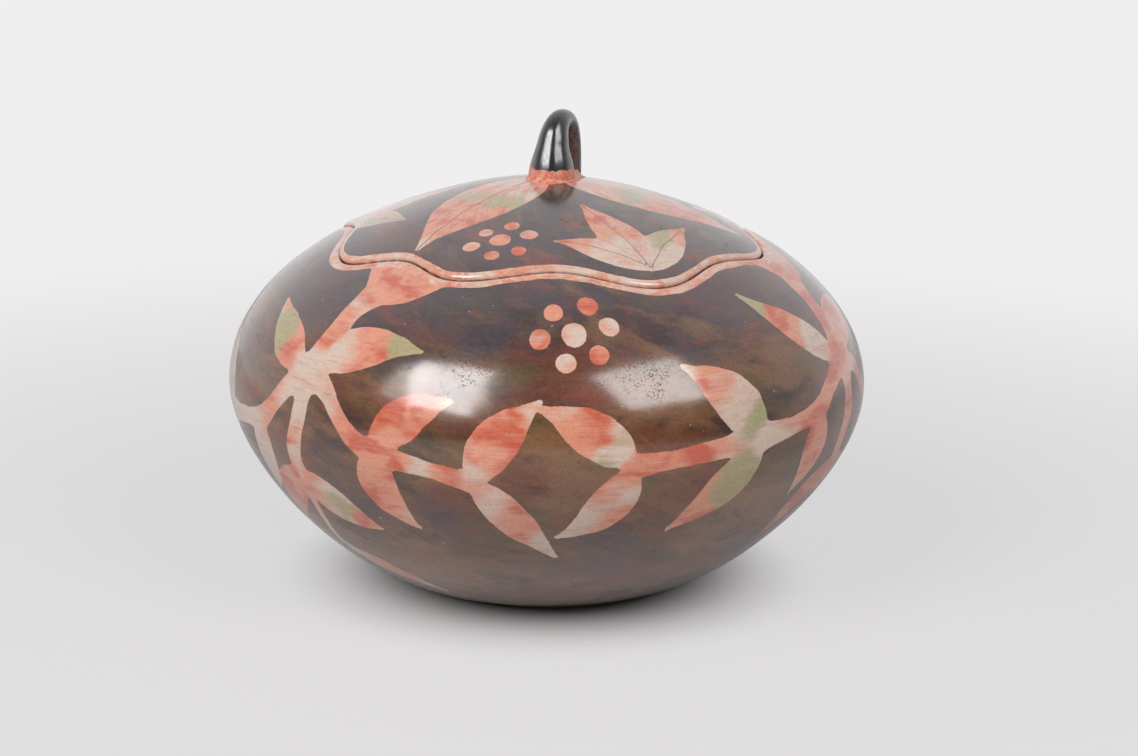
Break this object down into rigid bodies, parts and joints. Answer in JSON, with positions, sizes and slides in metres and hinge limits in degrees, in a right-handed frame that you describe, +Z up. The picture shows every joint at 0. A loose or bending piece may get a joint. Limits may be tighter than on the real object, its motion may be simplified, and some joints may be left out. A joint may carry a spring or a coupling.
{
  "type": "lidded earthenware jar",
  "caption": "Squat, rounded earthenware jar with a scalloped lid that is cut from its own shoulder and lifts off by a small stem loop.",
  "frame": {"origin": "centre of the foot, on the surface that the jar stands on", "axes": "+Z up; -Y towards the front that the picture shows, +X to its right"},
  "size_m": [0.24, 0.24, 0.1782],
  "materials": {
    "burnished_slip": "smoke-darkened earthenware with coloured slips, burnished and waxed",
    "black_slip": "smoke-blackened earthenware, burnished to a gloss",
    "coral_slip": "coral slip over earthenware, lightly burnished"
  },
  "bodies": {
    "jar": {"jar_body": "burnished_slip"},
    "lid": {"lid_shell": "burnished_slip", "stem_handle": "black_slip", "stem_collar": "coral_slip"}
  },
  "joints": [
    {"name": "lid_lift", "type": "slide", "parent": "jar", "child": "lid", "axis": [0, 0, 1], "range_m": [0, 0.12]}
  ]
}
